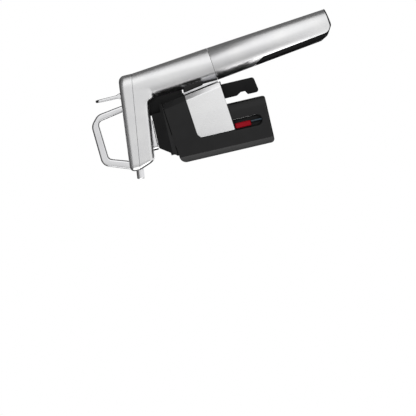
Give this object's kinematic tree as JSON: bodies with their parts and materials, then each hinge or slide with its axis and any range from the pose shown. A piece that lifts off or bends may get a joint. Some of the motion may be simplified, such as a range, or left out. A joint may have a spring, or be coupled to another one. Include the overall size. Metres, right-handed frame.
{
  "type": "wine preservation dispenser",
  "caption": "Hand-held dispenser that clamps on a bottle neck, pierces the cork with a hollow needle and pours from a spout under gas pressure from a capsule in its handle.",
  "frame": {"origin": "middle of the bottle mouth that the guide block rests on, on the bottle's axis", "axes": "+Z along the bottle's axis out of the bottle, +X towards the handle and capsule cup, -X towards the spout; Y = 0 is the plane of symmetry"},
  "size_m": [0.1121, 0.0434, 0.2312],
  "materials": {
    "satin_aluminium": "bead blasted and satin anodised",
    "polished_chrome": "polished chrome plate",
    "ground_steel": "ground stainless steel",
    "blackened_steel": "blackened",
    "machined_brass": "turned",
    "capsule_steel": "drawn steel",
    "black_nylon": "fine moulded grain",
    "black_rubber": "smooth",
    "red_silicone": "smooth"
  },
  "bodies": {
    "base": {"guide_block": "black_nylon", "mouth_pad": "black_rubber", "needle_bush": "machined_brass", "rail_housing": "black_nylon", "nest_saddle": "polished_chrome", "saddle_bumper_left": "black_rubber", "saddle_bumper_right": "black_rubber", "jaw_pin_left": "ground_steel", "jaw_pin_right": "ground_steel", "base_screw_left": "ground_steel", "base_screw_right": "ground_steel", "jaw_spring_left": "ground_steel", "jaw_spring_right": "ground_steel", "catch_spring": "ground_steel"},
    "jaw_left_body": {"jaw_left": "black_nylon", "jaw_plate_left": "satin_aluminium", "neck_pad_left": "red_silicone", "slot_rod_left": "blackened_steel"},
    "jaw_right_body": {"jaw_right": "black_nylon", "jaw_plate_right": "satin_aluminium", "neck_pad_right": "red_silicone", "slot_rod_right": "blackened_steel"},
    "catch": {"catch_plunger": "ground_steel"},
    "head": {"head_cap": "satin_aluminium", "main_housing": "satin_aluminium", "rail": "black_nylon", "rail_screw": "ground_steel", "needle_hub": "polished_chrome", "needle": "ground_steel", "spout": "polished_chrome", "spout_seal": "black_rubber", "valve_block": "machined_brass", "valve_cap": "machined_brass", "valve_spring": "ground_steel", "trigger_pin": "ground_steel", "regulator_body": "machined_brass", "regulator_piston": "machined_brass", "regulator_spring": "ground_steel", "lance": "ground_steel", "capsule_seal": "black_rubber"},
    "trigger_body": {"trigger": "polished_chrome"},
    "valve": {"valve_plunger": "ground_steel"},
    "capsule": {"gas_capsule": "capsule_steel"},
    "cup": {"cup_shell": "satin_aluminium", "cup_core": "black_nylon", "cup_cushion": "black_rubber"}
  },
  "joints": [
    {"name": "head_slide", "type": "slide", "parent": "base", "child": "head", "axis": [0, 0, 1], "range_m": [0, 0.058]},
    {"name": "jaw_left_swing", "type": "hinge", "parent": "base", "child": "jaw_left_body", "pos_m": [0, 0.017, 0.008], "axis": [1, 0, 0], "range_deg": [0, 7], "stiffness_Nm_per_rad": 0.4},
    {"name": "jaw_right_swing", "type": "hinge", "parent": "base", "child": "jaw_right_body", "pos_m": [0, -0.017, 0.008], "axis": [-1, 0, 0], "range_deg": [0, 7], "stiffness_Nm_per_rad": 0.4},
    {"name": "catch_slide", "type": "slide", "parent": "base", "child": "catch", "axis": [-1, 0, 0], "range_m": [0, 0.0012], "stiffness_N_per_m": 200, "deforming": ["catch_spring"]},
    {"name": "trigger_pull", "type": "hinge", "parent": "head", "child": "trigger_body", "pos_m": [0.05, 0, 0.047], "axis": [0, -1, 0], "range_deg": [0, 12], "stiffness_Nm_per_rad": 0.3},
    {"name": "valve_lift", "type": "slide", "parent": "head", "child": "valve", "axis": [0.9905, 0, -0.1374], "range_m": [0, 0.0024], "deforming": ["valve_spring"]},
    {"name": "capsule_feed", "type": "slide", "parent": "head", "child": "capsule", "axis": [0.1097, 0, -0.994], "range_m": [0, 0.012]},
    {"name": "cup_turn", "type": "hinge", "parent": "capsule", "child": "cup", "pos_m": [0.0595, 0, -0.0345], "axis": [0.1097, 0, -0.994], "range_deg": [0, 2160]}
  ],
  "couplings": [
    {"joint": "valve_lift", "follows": "trigger_pull", "m_per_rad": 0.01107},
    {"joint": "cup_turn", "follows": "capsule_feed", "rad_per_m": 3141}
  ]
}
